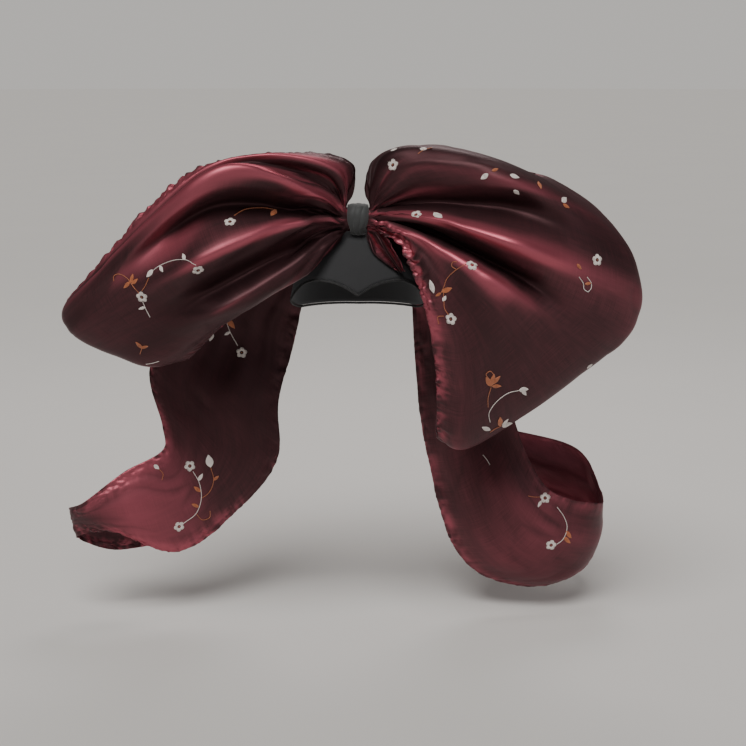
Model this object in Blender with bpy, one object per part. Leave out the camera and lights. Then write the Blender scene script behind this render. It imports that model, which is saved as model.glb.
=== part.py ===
"""Folk bow headdress: a small black bonnet that carries a very wide bow of taffeta ribbon.

The frame is in metres: +X to the viewer's right, -Y towards the viewer, +Z up.
The origin is the top of the bonnet's inside face.
"""

import math
from collections import namedtuple

import bmesh
import bpy
import numpy as np

MM = 0.001
SEAT_GAP = 0.35 * MM

# Bonnet: the top of an ellipsoid, cut off along the rim
CAP_HALF_WIDTH = 86 * MM
CAP_HALF_LENGTH = 100 * MM
CAP_DOME = 115 * MM
CAP_WALL = 2.0 * MM
CAP_SEGMENTS = 36
CAP_RINGS = 7
PIPING_RADIUS = 1.4 * MM
PIPING_POINTS = 72

# Height of the rim, from the middle of the front round to the middle of the back
Rim = namedtuple("Rim", "bearing_deg height_mm")
CAP_RIM = (
    Rim(0, -72),
    Rim(12, -63),
    Rim(24, -58.5),
    Rim(38, -57.5),
    Rim(55, -63),
    Rim(80, -86),
    Rim(120, -107),
    Rim(180, -110),
)

# Band that gathers the ribbon, a ring round the X axis
KNOT_FORWARD = 44 * MM
BAND_WIDTH = 23 * MM
BAND_HALF_DEPTH = 13.5 * MM
BAND_HALF_HEIGHT = 20 * MM
BAND_WALL = 2.0 * MM
BAND_SEGMENTS = 24
BAND_RINGS = 4
BAND_CROWN = 1.6 * MM

# Ribbon
CLOTH = 1.6 * MM
ROOT_START = 1.0 * MM
MOUTH = BAND_WIDTH / 2 + 2.0 * MM
LOOP_STEPS = 32
LOOP_LINES_PER_FOLD = 2
LOOP_SPREAD_DEG = 74
LOOP_BACK_DEPTH = 0.2
BACK_SPREAD = 0.45
TIP_ROUND = 26 * MM
TIP_PULL = 5 * MM
GATHER_RISE = 2.6 * MM
GATHER_REACH = 120 * MM
TAIL_STEPS = 24
TAIL_ACROSS = 9
TAIL_SPREAD_DEG = 58
CAP_CLEARANCE = 4.0 * MM

# Fold lines of the loops, from the lower edge of the ribbon to its upper edge. Each point is
# in millimetres from the centre of the knot: x outwards, y backwards, z up. Near and mid lie
# on the front of the loop, tip where it turns round, back on its way to the knot again.
Fold = namedtuple("Fold", "name near mid tip back")
RIGHT_FOLDS = (
    Fold("lower hem", (54, -40, -44), (86, -66, -136), (96, -6, -268), (98, 42, -136)),
    Fold("flat panel, inner", (58, -46, -40), (118, -84, -142), (126, -4, -284), (128, 52, -134)),
    Fold("flat panel, outer", (62, -50, -30), (150, -92, -118), (208, 2, -238), (160, 60, -114)),
    Fold("third crest", (64, -56, -16), (166, -96, -68), (284, 6, -180), (188, 64, -86)),
    Fold("second valley", (66, -28, -8), (178, -56, -58), (324, 8, -148), (202, 56, -68)),
    Fold("slope", (69, -40, -1), (186, -82, -42), (339, 4, -120), (210, 64, -48)),
    Fold("main crest", (72, -56, 7), (194, -104, -26), (343, 0, -90), (214, 72, -26)),
    Fold("main valley", (70, -24, 18), (198, -52, 12), (332, 8, -48), (210, 60, 2)),
    Fold("upper face", (66, -36, 34), (194, -74, 42), (306, 8, -8), (192, 66, 30)),
    Fold("upper crest", (46, -40, 56), (154, -60, 71), (270, 12, 24), (160, 62, 50)),
    Fold("top", (24, -16, 74), (100, -20, 87), (228, 24, 46), (122, 58, 62)),
    Fold("upper hem", (16, 12, 62), (94, 18, 78), (210, 40, 46), (96, 56, 66)),
)
LEFT_FOLDS = (
    Fold("lower hem", (44, -20, -44), (104, -10, -74), (206, 12, -172), (112, 34, -92)),
    Fold("rolled edge", (52, -36, -58), (136, -50, -108), (256, 0, -181), (140, 48, -104)),
    Fold("lower panel", (62, -48, -44), (166, -80, -104), (294, -2, -168), (170, 58, -98)),
    Fold("lower valley", (70, -32, -32), (166, -60, -76), (316, 4, -158), (190, 56, -78)),
    Fold("middle slope", (76, -48, -14), (176, -84, -58), (332, 2, -150), (202, 62, -62)),
    Fold("middle crest", (78, -58, -2), (180, -100, -38), (345, 0, -142), (210, 68, -44)),
    Fold("middle valley", (76, -28, 12), (176, -50, 14), (353, 6, -132), (206, 58, -18)),
    Fold("upper slope", (66, -44, 26), (160, -80, 42), (357, 4, -122), (190, 62, 10)),
    Fold("front crest", (50, -50, 32), (154, -78, 66), (357, 4, -112), (172, 62, 34)),
    Fold("lobe valley", (42, -20, 42), (148, -42, 64), (353, 6, -103), (152, 60, 48)),
    Fold("upper lobe", (25, -30, 60), (164, -40, 69), (347, 10, -95), (124, 58, 54)),
    Fold("upper hem", (7, -4, 64), (190, -24, 60), (339, 14, -87), (100, 56, 56)),
)

# Cross-sections of the tails, from the knot to the cut end, each from the hem nearest the
# middle to the outer hem, in the same frame as the folds
Section = namedtuple("Section", "inner fold belly outer")
RIGHT_TAIL = (
    Section((38, 60, -34), (50, 58, -20), (62, 54, -6), (70, 48, 12)),
    Section((64, 118, -95), (90, 112, -76), (120, 104, -55), (148, 96, -28)),
    Section((72, 126, -190), (106, 116, -180), (142, 106, -166), (182, 94, -150)),
    Section((80, 118, -275), (118, 96, -276), (160, 94, -275), (201, 86, -274)),
    Section((98, 110, -362), (138, 84, -364), (192, 70, -365), (242, 82, -356)),
    Section((122, 106, -440), (168, 80, -428), (222, 70, -408), (272, 80, -372)),
    Section((160, 106, -482), (216, 84, -466), (270, 76, -432), (306, 94, -381)),
    Section((236, 112, -501), (278, 102, -482), (308, 104, -442), (322, 120, -386)),
    Section((296, 138, -487), (314, 140, -462), (324, 148, -425), (321, 154, -382)),
    Section((320, 176, -450), (320, 184, -420), (312, 190, -388), (298, 188, -348)),
    Section((268, 200, -424), (254, 202, -390), (236, 200, -354), (214, 192, -320)),
)
LEFT_TAIL = (
    Section((38, 60, -34), (50, 58, -20), (62, 54, -6), (72, 48, 12)),
    Section((66, 118, -95), (96, 112, -74), (132, 104, -50), (168, 96, -24)),
    Section((84, 124, -175), (126, 114, -165), (180, 104, -150), (234, 92, -130)),
    Section((104, 112, -250), (154, 92, -242), (210, 92, -224), (267, 86, -204)),
    Section((106, 110, -325), (150, 96, -318), (202, 88, -300), (252, 86, -278)),
    Section((160, 104, -395), (184, 90, -370), (216, 80, -340), (250, 80, -304)),
    Section((236, 80, -443), (260, 66, -410), (282, 60, -372), (300, 66, -332)),
    Section((322, 66, -412), (334, 60, -399), (345, 58, -386), (354, 60, -372)),
    Section((366, 86, -424), (370, 86, -411), (373, 85, -398), (375, 84, -385)),
    Section((326, 108, -448), (334, 110, -430), (341, 110, -412), (347, 108, -394)),
    Section((252, 116, -440), (258, 118, -424), (263, 118, -409), (268, 116, -394)),
)

# Linear colour, roughness and metallic value of each material
TAFFETA = ("burgundy_taffeta", (0.075, 0.009, 0.016), 0.38, 0.35)
FELT = ("black_felt", (0.012, 0.012, 0.013), 0.9, 0.0)
PIPING = ("black_cord", (0.008, 0.008, 0.009), 0.7, 0.0)
BAND_CLOTH = ("black_ribbon", (0.02, 0.021, 0.022), 0.75, 0.0)


def material(name, colour, roughness, metallic):
    made = bpy.data.materials.new(name)
    made.use_nodes = True
    shader = made.node_tree.nodes["Principled BSDF"]
    shader.inputs["Base Color"].default_value = (*colour, 1.0)
    shader.inputs["Roughness"].default_value = roughness
    shader.inputs["Metallic"].default_value = metallic
    return made


def add_object(name, bm, look):
    """Turns a bmesh into a named, smooth-shaded object and frees it."""
    mesh = bpy.data.meshes.new(name)
    bm.to_mesh(mesh)
    bm.free()
    mesh.materials.append(material(*look))
    mesh.shade_smooth()
    made = bpy.data.objects.new(name, mesh)
    bpy.context.scene.collection.objects.link(made)
    return made


def thicken(made, thickness, offset=0.0):
    wall = made.modifiers.new("Wall", "SOLIDIFY")
    wall.thickness = thickness
    wall.offset = offset


def through(points, places):
    """Points on the centripetal Catmull-Rom curve through the given ones, at fractional places."""
    points = np.asarray(points, float)
    ends = np.vstack([2 * points[0] - points[1], points, 2 * points[-1] - points[-2]])
    places = np.asarray(places, float)
    row = np.clip(places.astype(int), 0, len(points) - 2)
    p = [ends[row + k] for k in range(4)]
    t = [np.zeros((len(places), 1))]
    for k in range(3):
        t.append(t[k] + np.linalg.norm(p[k + 1] - p[k], axis=1, keepdims=True) ** 0.5)
    now = t[1] + (places - row)[:, None] * (t[2] - t[1])
    for first, reach in ((0, 1), (0, 2), (1, 1)):
        blended = []
        for k in range(len(p) - 1):
            start, end = t[first + k], t[first + k + reach]
            blended.append((p[k] * (end - now) + p[k + 1] * (now - start)) / (end - start))
        p = blended
    return p[0]


def evenly(points, steps, fine=24):
    """The same curve cut into steps of equal length."""
    dense = through(points, np.linspace(0, len(points) - 1, fine * (len(points) - 1) + 1))
    lengths = np.linalg.norm(np.diff(dense, axis=0), axis=1)
    along = np.concatenate([[0], np.cumsum(lengths)])
    wanted = np.linspace(0, along[-1], steps + 1)
    return np.stack([np.interp(wanted, along, dense[:, k]) for k in range(3)], axis=1)


def rim_height(bearing):
    """Height of the bonnet's rim at a bearing in radians from the middle of the front."""
    degrees = abs(math.degrees(math.remainder(bearing, 2 * math.pi)))
    bearings = [row.bearing_deg for row in CAP_RIM]
    row = min(sum(degrees >= b for b in bearings) - 1, len(CAP_RIM) - 2)
    place = row + (degrees - bearings[row]) / (bearings[row + 1] - bearings[row])
    heights = [(row.height_mm * MM,) * 3 for row in CAP_RIM]
    return through(heights, [place])[0][0]


def rim_polar(bearing):
    """Angle from the pole of the dome down to the rim."""
    return math.acos((CAP_DOME + rim_height(bearing)) / CAP_DOME)


def on_dome(bearing, polar, proud=0.0):
    """A point on the dome, proud of its inside face by the given distance."""
    return (
        (CAP_HALF_WIDTH + proud) * math.sin(polar) * math.sin(bearing),
        -(CAP_HALF_LENGTH + proud) * math.sin(polar) * math.cos(bearing),
        (CAP_DOME + proud) * math.cos(polar) - CAP_DOME,
    )


def dome_height(y):
    """Height of the bonnet's outside over its middle line."""
    reach = y / (CAP_HALF_LENGTH + CAP_WALL)
    return (CAP_DOME + CAP_WALL) * math.sqrt(1 - reach**2) - CAP_DOME


def knot_centre():
    """The band stands upright on the dome, in front of its top."""
    height = -CAP_DOME
    for degrees in range(-80, 81, 5):
        y = BAND_HALF_DEPTH * math.sin(math.radians(degrees))
        foot = BAND_HALF_HEIGHT * math.cos(math.radians(degrees))
        height = max(height, dome_height(y - KNOT_FORWARD) + foot)
    return np.array([0.0, -KNOT_FORWARD, height + BAND_CROWN + SEAT_GAP])


KNOT = knot_centre()


def make_cap():
    bm = bmesh.new()
    bmesh.ops.create_uvsphere(bm, u_segments=CAP_SEGMENTS, v_segments=2 * CAP_RINGS, radius=1.0)
    lower = [v for v in bm.verts if v.co.z < -1e-4]
    bmesh.ops.delete(bm, geom=lower, context="VERTS")
    for v in bm.verts:
        bearing = math.atan2(v.co.x, -v.co.y)
        share = math.acos(min(1.0, v.co.z)) / (math.pi / 2)
        v.co = on_dome(bearing, share * rim_polar(bearing))
    thicken(add_object("cap", bm, FELT), CAP_WALL, offset=1.0)


def make_edge_piping():
    """A round cord along the rim, hanging one seat gap under the wall's edge."""
    drop = (PIPING_RADIUS + SEAT_GAP) / CAP_HALF_WIDTH
    step = math.pi / PIPING_POINTS
    curve = bpy.data.curves.new("edge_piping", "CURVE")
    curve.dimensions = "3D"
    curve.bevel_depth = PIPING_RADIUS
    curve.bevel_resolution = 1
    spline = curve.splines.new("POLY")
    spline.points.add(PIPING_POINTS - 1)
    spline.use_cyclic_u = True
    for i, point in enumerate(spline.points):
        bearing = math.remainder(2 * math.pi * i / PIPING_POINTS, 2 * math.pi)
        polar = rim_polar(bearing)
        slope = (rim_polar(bearing + step) - rim_polar(bearing - step)) / (2 * step)
        polar += drop * math.hypot(1.0, slope / math.sin(polar))
        point.co = (*on_dome(bearing, polar, CAP_WALL / 2), 1.0)
    curve.materials.append(material(*PIPING))
    made = bpy.data.objects.new("edge_piping", curve)
    bpy.context.scene.collection.objects.link(made)


def make_knot_band():
    """The gathering band: a strip crowned across its width, closed into a ring."""
    bm = bmesh.new()
    bmesh.ops.create_cone(
        bm,
        segments=BAND_SEGMENTS,
        radius1=1.0,
        radius2=1.0,
        depth=BAND_WIDTH,
        cap_ends=False,
    )
    long_edges = [e for e in bm.edges if abs(e.verts[0].co.z - e.verts[1].co.z) > BAND_WIDTH / 2]
    bmesh.ops.subdivide_edges(bm, edges=long_edges, cuts=BAND_RINGS - 1, use_grid_fill=True)
    for v in bm.verts:
        across = v.co.z / (BAND_WIDTH / 2)
        crown = BAND_CROWN * (1 - across**2)
        y = (BAND_HALF_DEPTH - BAND_WALL + crown) * v.co.x
        z = (BAND_HALF_HEIGHT - BAND_WALL + crown) * v.co.y
        v.co = (v.co.z, KNOT[1] + y, KNOT[2] + z)
    thicken(add_object("knot_band", bm, BAND_CLOTH), BAND_WALL, offset=1.0)


def root(angle, x, depth):
    """A point of the gathered ribbon inside the band. Depth runs from -1, front, to 1, back."""
    room = BAND_WALL + SEAT_GAP + CLOTH / 2
    y = depth * (BAND_HALF_DEPTH - room) * math.cos(angle)
    z = (BAND_HALF_HEIGHT - room) * math.sin(angle)
    return (x, y, z)


def clear_of_cap(point):
    """Lifts a point of the ribbon off the bonnet, and clear of the space below its rim."""
    x, y, z = point + KNOT
    lift = CAP_WALL + CAP_CLEARANCE
    a, b, c = CAP_HALF_WIDTH + lift, CAP_HALF_LENGTH + lift, CAP_DOME + lift
    up = max(z + CAP_DOME, 0.0)
    level = math.sqrt((x / a) ** 2 + (y / b) ** 2 + (up / c) ** 2)
    if level >= 1 or x <= MOUTH:
        return point
    base = min(z, -CAP_DOME)
    return np.array([x, y, up]) / level + np.array([0.0, 0.0, base]) - KNOT


def sheet_from(lines, name, side):
    """A walled sheet whose grid follows the given lines, one for each line along the ribbon."""
    across, along = len(lines) - 1, len(lines[0]) - 1
    bm = bmesh.new()
    bmesh.ops.create_grid(bm, x_segments=along, y_segments=across, size=0.5)
    for v in bm.verts:
        i = round((v.co.x + 0.5) * along)
        j = round((v.co.y + 0.5) * across)
        x, y, z = lines[j][i]
        v.co = (side * (x + KNOT[0]), y + KNOT[1], z + KNOT[2])
    thicken(add_object(name, bm, TAFFETA), CLOTH)


def fold_line(fold, angle):
    """One line of a loop: out of the band, round the tip and back, with the tip halfway."""
    near, mid, tip, back = (np.array(p) * MM for p in fold[1:])
    front = [root(angle, MOUTH, -1), near, mid]
    behind = [root(angle, MOUTH, LOOP_BACK_DEPTH)]
    behind += [BACK_SPREAD * back + (1 - BACK_SPREAD) * np.array(behind[0]), back]
    outward = tip - 0.5 * (mid + back)
    outward[1] = 0.0
    pull = TIP_PULL * outward / np.linalg.norm(outward)
    step = np.array([0.0, TIP_ROUND, 0.0])
    front += [tip - pull - step, tip]
    behind += [tip - pull + step, tip]
    half = LOOP_STEPS // 2 - 1
    return np.vstack(
        [
            root(angle, ROOT_START, -1),
            evenly(front, half),
            evenly(behind, half)[::-1][1:],
            root(angle, ROOT_START, LOOP_BACK_DEPTH),
        ]
    )


def gathered(lines):
    """Raises every other line near the band, as pleats that die out along the loop."""
    lines = np.array(lines)
    grown = np.gradient(lines, axis=0), np.gradient(lines, axis=1)
    normal = np.cross(*grown)
    normal /= np.linalg.norm(normal, axis=2, keepdims=True)
    steps = np.linalg.norm(np.diff(lines, axis=1), axis=2)
    run = np.concatenate([np.zeros((len(lines), 1)), np.cumsum(steps, axis=1)], axis=1)
    for distance in (run, run[:, -1:] - run):
        share = np.clip((distance - MOUTH) / GATHER_REACH, 0, 1)
        rise = GATHER_RISE * np.sin(math.pi * np.sqrt(share)) ** 2
        sign = np.where(np.arange(len(lines)) % 2, -1.0, 1.0)[:, None]
        lines = lines + normal * (rise * sign)[..., None]
    return lines


def make_loop(name, folds, side):
    spread = math.radians(LOOP_SPREAD_DEG)
    angles = np.linspace(-spread, spread, len(folds))
    ribs = np.array([fold_line(fold, angle) for fold, angle in zip(folds, angles)])
    count = LOOP_LINES_PER_FOLD * (len(folds) - 1) + 1
    places = np.linspace(0, len(folds) - 1, count)
    columns = [through(ribs[:, i], places) for i in range(ribs.shape[1])]
    lines = gathered(np.stack(columns, axis=1))
    sheet_from([[clear_of_cap(p) for p in line] for line in lines], name, side)


def make_tail(name, sections, side):
    spread = math.radians(TAIL_SPREAD_DEG)
    angles = np.linspace(-spread, spread, TAIL_ACROSS)
    places = np.linspace(0, len(Section._fields) - 1, TAIL_ACROSS)
    start, mouth = ([root(angle, x, 1) for angle in angles] for x in (ROOT_START, MOUTH))
    rows = np.array([mouth] + [through(np.array(s) * MM, places) for s in sections])
    lines = [np.vstack([start[j], evenly(rows[:, j], TAIL_STEPS)]) for j in range(TAIL_ACROSS)]
    sheet_from([[clear_of_cap(p) for p in line] for line in lines], name, side)


def main():
    for old in list(bpy.data.objects):
        bpy.data.objects.remove(old)
    make_cap()
    make_edge_piping()
    make_knot_band()
    make_loop("loop_right", RIGHT_FOLDS, side=1)
    make_loop("loop_left", LEFT_FOLDS, side=-1)
    make_tail("tail_right", RIGHT_TAIL, side=1)
    make_tail("tail_left", LEFT_TAIL, side=-1)


main()
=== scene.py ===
"""Folk bow headdress: a black felt bonnet that carries a wide bow of embroidered shot taffeta.

The frame is in metres: +X to the viewer's right, -Y towards the viewer, +Z up.
"""

import math
from collections import namedtuple

import bmesh
import bpy
import numpy as np
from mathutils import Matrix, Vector
from mathutils.bvhtree import BVHTree


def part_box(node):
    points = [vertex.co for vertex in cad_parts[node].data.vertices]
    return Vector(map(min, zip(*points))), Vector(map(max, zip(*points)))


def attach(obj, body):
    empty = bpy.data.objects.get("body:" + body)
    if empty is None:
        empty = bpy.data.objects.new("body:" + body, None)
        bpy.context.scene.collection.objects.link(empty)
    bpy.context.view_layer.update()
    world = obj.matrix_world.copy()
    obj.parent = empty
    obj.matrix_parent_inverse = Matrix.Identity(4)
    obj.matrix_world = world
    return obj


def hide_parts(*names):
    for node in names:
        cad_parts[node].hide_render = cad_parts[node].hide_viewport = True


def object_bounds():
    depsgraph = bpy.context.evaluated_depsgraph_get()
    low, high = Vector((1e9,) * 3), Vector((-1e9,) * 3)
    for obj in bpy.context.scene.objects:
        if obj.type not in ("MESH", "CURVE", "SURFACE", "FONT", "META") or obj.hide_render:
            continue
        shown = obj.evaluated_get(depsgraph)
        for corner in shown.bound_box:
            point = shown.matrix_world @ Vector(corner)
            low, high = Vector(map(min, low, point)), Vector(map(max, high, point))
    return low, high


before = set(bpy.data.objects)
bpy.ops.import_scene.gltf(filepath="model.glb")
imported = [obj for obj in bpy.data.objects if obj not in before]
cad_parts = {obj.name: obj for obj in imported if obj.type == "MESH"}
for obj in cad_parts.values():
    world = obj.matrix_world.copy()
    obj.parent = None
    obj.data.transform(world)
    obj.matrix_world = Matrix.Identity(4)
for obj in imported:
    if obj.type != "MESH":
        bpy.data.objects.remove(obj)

bl_info = {
    "name": "Folk bow headdress",
    "version": (1, 0, 0),
    "blender": (4, 5, 0),
    "location": "View3D > Sidebar > Headdress",
    "description": "Builds a folk headdress: a felt bonnet with a wide taffeta bow",
    "category": "Add Mesh",
}

MM = 0.001
CAD_BOX = [list(corner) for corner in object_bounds()]

# Knot band, a ring round the X axis
BAND_LOW, BAND_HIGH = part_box("knot_band")
KNOT = np.array((BAND_LOW + BAND_HIGH) / 2)
BAND_WIDTH = BAND_HIGH.x - BAND_LOW.x
BAND_WALL = 2.0 * MM
BAND_CROWN = 1.6 * MM
BAND_HALF_DEPTH = (BAND_HIGH.y - BAND_LOW.y) / 2 - BAND_CROWN
BAND_HALF_HEIGHT = (BAND_HIGH.z - BAND_LOW.z) / 2 - BAND_CROWN
BAND_SQUASH = 0.74
BAND_RIBS = 3
KNUCKLE_TURN = math.radians(152)
KNUCKLE_RISE = 2.4 * MM

# Bonnet, the top of an ellipsoid cut off along the rim
CAP_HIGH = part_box("cap")[1]
CAP_WALL = 2.0 * MM
CAP_HALF_WIDTH = CAP_HIGH.x - CAP_WALL
CAP_HALF_LENGTH = CAP_HIGH.y - CAP_WALL
CAP_DOME = 115 * MM
PIPING_RADIUS = 1.4 * MM
PIPING_STRAND = 0.72 * MM
PIPING_TURNS = 150
PIPING_STEPS = 1500
Rim = namedtuple("Rim", "bearing_deg height_mm")
CAP_RIM = (
    Rim(0, -72), Rim(12, -63), Rim(24, -58.5), Rim(38, -57.5),
    Rim(55, -63), Rim(80, -86), Rim(120, -107), Rim(180, -110),
)

# Ribbon, with the flat size of each sheet in metres
RIBBON_WIDTH = 0.31
TAIL_WIDTH = 0.155
MOUTH = BAND_WIDTH / 2 + 2.0 * MM
ROOT_START = 1.0 * MM
ROOT_GAP = 1.2 * MM
ROOT_STEPS = 4
LOOP_SPREAD_DEG = 74
RIGHT_LOWER_DEG = 36
LOOP_BACK_DEPTH = 0.2
BACK_SPREAD = 0.45
TIP_ROUND = 26 * MM
TIP_PULL = 5 * MM
FOLD_FADE = 0.8
FADE_FROM = 0.45
FADE_OVER = 0.3
TAIL_SPREAD_DEG = 58
CAP_CLEARANCE = 4.0 * MM
LOOP_FRONT_STEPS = 250
LOOP_BACK_STEPS = 170
LOOP_ROWS = 104
TAIL_STEPS = 300
TAIL_ROWS = 84
HEM_ROWS = 12
HEM_ZONE = 24 * MM
HEM_RISE = 0.45 * MM

# Steps to each span of a curve when it is measured, and cells to a side of the noise
CURVE_STEPS = 60
NOISE_CELLS = 64

# Distances from the knot over which gathers and puckers, and then creases, come up
KNOT_EASE = 14 * MM
CREASE_EASE = 70 * MM

# Shares of a loop's front at which its folds' painted light and shade is given, and of a ribbon's
# length for puckers
PAINTED_SHADING_MARKS = (0.0, 0.2, 0.55, 0.92, 1.15)
HEM_MARKS = (0.0, 0.05, 0.14, 0.3, 0.5, 1.0)

# How much each kind of relief adds to the painted light: raised relief is coloured redder, a
# painted highlight, and hollows darker, painted shade
PaintedLight = namedtuple("PaintedLight", "sharp broad gathers puckers hem_zone hem")
PAINTED_LIGHT = PaintedLight(0.9, 1.2, 0.24, 0.42, 0.16, 0.05)

# Fold lines of the loops, from the lower edge of the ribbon to its upper edge. Each point is
# in millimetres from the centre of the knot: x outwards, y backwards, z up. Near and mid lie
# on the front of the loop, tip where it turns round, back on its way to the knot again. The
# last column is painted light and shade: how much redder, a painted highlight, or darker,
# painted shade, than plain cloth the fold is coloured at near, mid and tip.
Fold = namedtuple("Fold", "name near mid tip back glow")
RIGHT_FOLDS = (
    Fold("lower hem", (50, -40, -30), (86, -66, -136), (96, -6, -268), (98, 42, -136),
         (0.30, 0.05, -0.02)),
    Fold("flat panel, inner", (56, -47, -27), (118, -84, -142), (126, -4, -284), (128, 52, -134),
         (0.05, -0.16, -0.10)),
    Fold("flat panel, outer", (61, -51, -22), (150, -92, -118), (208, 2, -238), (160, 60, -114),
         (0.05, -0.16, -0.08)),
    Fold("third crest", (64, -56, -16), (166, -96, -68), (284, 6, -180), (188, 64, -86),
         (0.10, -0.02, -0.06)),
    Fold("second valley", (66, -28, -8), (178, -56, -58), (324, 8, -148), (202, 56, -68),
         (-0.15, -0.10, -0.02)),
    Fold("slope", (69, -40, -1), (186, -82, -42), (339, 4, -120), (210, 64, -48),
         (0.05, 0.10, 0.06)),
    Fold("main crest", (72, -56, 7), (194, -104, -26), (343, 0, -90), (214, 72, -26),
         (0.34, 0.20, 0.08)),
    Fold("main valley", (70, -24, 18), (198, -52, 12), (332, 8, -48), (210, 60, 2),
         (-0.15, -0.22, -0.20)),
    Fold("upper face", (66, -36, 34), (194, -74, 42), (306, 8, -8), (192, 66, 30),
         (0.10, -0.06, -0.10)),
    Fold("upper crest", (46, -40, 56), (154, -60, 71), (270, 12, 24), (160, 62, 50),
         (-0.20, -0.34, -0.12)),
    Fold("top", (24, -16, 74), (100, -20, 87), (228, 24, 46), (122, 58, 62),
         (-0.45, -0.45, -0.15)),
    Fold("upper hem", (16, 12, 62), (94, 18, 78), (210, 40, 46), (96, 56, 66),
         (-0.20, -0.10, -0.05)),
)
LEFT_FOLDS = (
    Fold("lower hem", (44, -20, -44), (104, -10, -74), (206, 12, -172), (112, 34, -92),
         (-0.15, -0.15, -0.10)),
    Fold("rolled edge", (52, -36, -58), (136, -50, -108), (256, 0, -181), (140, 48, -104),
         (-0.35, -0.30, -0.10)),
    Fold("lower panel", (62, -48, -44), (166, -80, -104), (294, -2, -168), (170, 58, -98),
         (-0.60, -0.62, -0.26)),
    Fold("lower valley", (70, -32, -32), (166, -60, -76), (316, 4, -158), (190, 56, -78),
         (-0.45, -0.40, -0.12)),
    Fold("middle slope", (76, -48, -14), (176, -84, -58), (332, 2, -150), (202, 62, -62),
         (-0.15, -0.34, -0.06)),
    Fold("middle crest", (78, -58, -2), (180, -100, -38), (345, 0, -142), (210, 68, -44),
         (0.04, -0.36, -0.16)),
    Fold("middle valley", (76, -28, 12), (176, -50, 14), (353, 6, -132), (206, 58, -18),
         (-0.50, 0.95, -0.62)),
    Fold("upper slope", (66, -44, 26), (160, -80, 42), (357, 4, -122), (190, 62, 10),
         (-0.05, -0.10, -0.34)),
    Fold("front crest", (50, -50, 32), (154, -78, 66), (357, 4, -112), (172, 62, 34),
         (0.15, 0.15, 0.00)),
    Fold("lobe valley", (42, -20, 42), (148, -42, 64), (353, 6, -103), (152, 60, 48),
         (0.60, 0.12, 0.05)),
    Fold("upper lobe", (25, -30, 60), (164, -40, 69), (347, 10, -95), (124, 58, 54),
         (-0.02, 0.30, 0.12)),
    Fold("upper hem", (7, -4, 64), (190, -24, 60), (339, 14, -87), (100, 56, 56),
         (0.00, 0.15, 0.10)),
)

# Cross-sections of the tails, from the knot to the cut end, each from the hem nearest the
# middle to the outer hem, in the same frame as the folds and with painted light and shade like
# theirs
Section = namedtuple("Section", "inner fold belly outer glow")
RIGHT_TAIL = (
    Section((38, 60, -34), (50, 58, -20), (62, 54, -6), (70, 48, 12), 0.00),
    Section((64, 118, -95), (90, 112, -76), (120, 104, -55), (148, 96, -28), 0.00),
    Section((72, 126, -190), (106, 116, -180), (142, 106, -166), (182, 94, -150), -0.05),
    Section((80, 118, -275), (118, 96, -276), (160, 94, -275), (201, 86, -274), -0.05),
    Section((98, 110, -362), (138, 84, -364), (192, 70, -365), (242, 82, -356), 0.00),
    Section((122, 106, -440), (168, 80, -428), (222, 70, -408), (272, 80, -372), 0.05),
    Section((160, 106, -482), (216, 84, -466), (270, 76, -432), (306, 94, -381), 0.12),
    Section((236, 112, -501), (278, 102, -482), (308, 104, -442), (322, 120, -386), 0.05),
    Section((296, 138, -487), (314, 140, -462), (324, 148, -425), (321, 154, -377), 0.10),
    Section((320, 176, -450), (320, 190, -420), (312, 184, -380), (298, 188, -334), 0.26),
    Section((252, 196, -420), (234, 210, -382), (212, 188, -340), (188, 196, -302), 0.26),
)
LEFT_TAIL = (
    Section((38, 60, -34), (50, 58, -20), (62, 54, -6), (72, 48, 12), 0.00),
    Section((66, 118, -95), (96, 112, -74), (132, 104, -50), (168, 96, -24), -0.10),
    Section((84, 124, -175), (126, 114, -165), (180, 104, -150), (234, 92, -130), -0.32),
    Section((104, 112, -250), (154, 92, -242), (210, 92, -224), (267, 86, -204), -0.36),
    Section((106, 110, -325), (150, 96, -318), (202, 88, -300), (252, 86, -278), -0.32),
    Section((160, 104, -395), (184, 90, -370), (216, 80, -340), (250, 80, -304), -0.16),
    Section((236, 80, -443), (260, 66, -410), (282, 60, -372), (300, 66, -332), 0.20),
    Section((322, 66, -412), (334, 60, -399), (345, 58, -386), (354, 60, -372), 0.32),
    Section((366, 86, -424), (370, 86, -411), (373, 85, -398), (375, 84, -385), -0.05),
    Section((326, 108, -448), (334, 110, -430), (341, 110, -412), (347, 108, -394), -0.05),
    Section((252, 116, -440), (258, 118, -424), (263, 118, -409), (268, 116, -394), -0.05),
)

# The ruffle under the knot's right side, from its upper rib to its hem, in the same frame
Pleat = namedtuple("Pleat", "name root_deg near mid tip")
RUFFLE = (
    Pleat("upper rib", -44, (27, -24, -12), (42, -32, -33), (56, -30, -62)),
    Pleat("upper face", -52, (23, -13, -15), (37, -17, -35), (54, -23, -62)),
    Pleat("middle rib", -62, (22, -23, -19), (34, -31, -38), (52, -29, -63)),
    Pleat("lower face", -72, (17, -10, -22), (28, -14, -41), (50, -22, -62)),
    Pleat("lower rib", -84, (14, -18, -26), (22, -26, -44), (48, -26, -62)),
    Pleat("hem", -94, (12, -5, -28), (18, -10, -45), (46, -19, -60)),
)
RUFFLE_STEPS = 90
RUFFLE_ROWS = 60

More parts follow.
